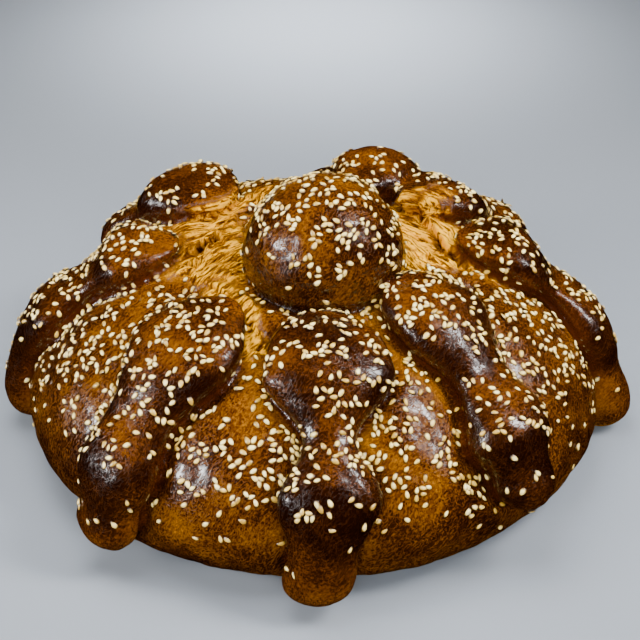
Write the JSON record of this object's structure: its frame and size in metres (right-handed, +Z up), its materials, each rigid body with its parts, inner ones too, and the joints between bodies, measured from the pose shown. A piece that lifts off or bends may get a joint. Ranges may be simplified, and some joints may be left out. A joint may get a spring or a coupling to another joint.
{
  "type": "pan de muerto",
  "caption": "Large round festive loaf with knobbed dough bones down its sides, a dough ball on the crown and sesame seeds.",
  "frame": {"origin": "on the table, under the middle of the loaf's box", "axes": "+Z up, -Y towards the side with the lowest-hanging straight bone, +X to the right of it"},
  "size_m": [0.2654, 0.2556, 0.12],
  "materials": {
    "baked_crust": "egg-washed brown crust, glossy on the bones and satin where torn"
  },
  "bodies": {
    "root": {"pan_de_muerto": "baked_crust"}
  },
  "joints": []
}
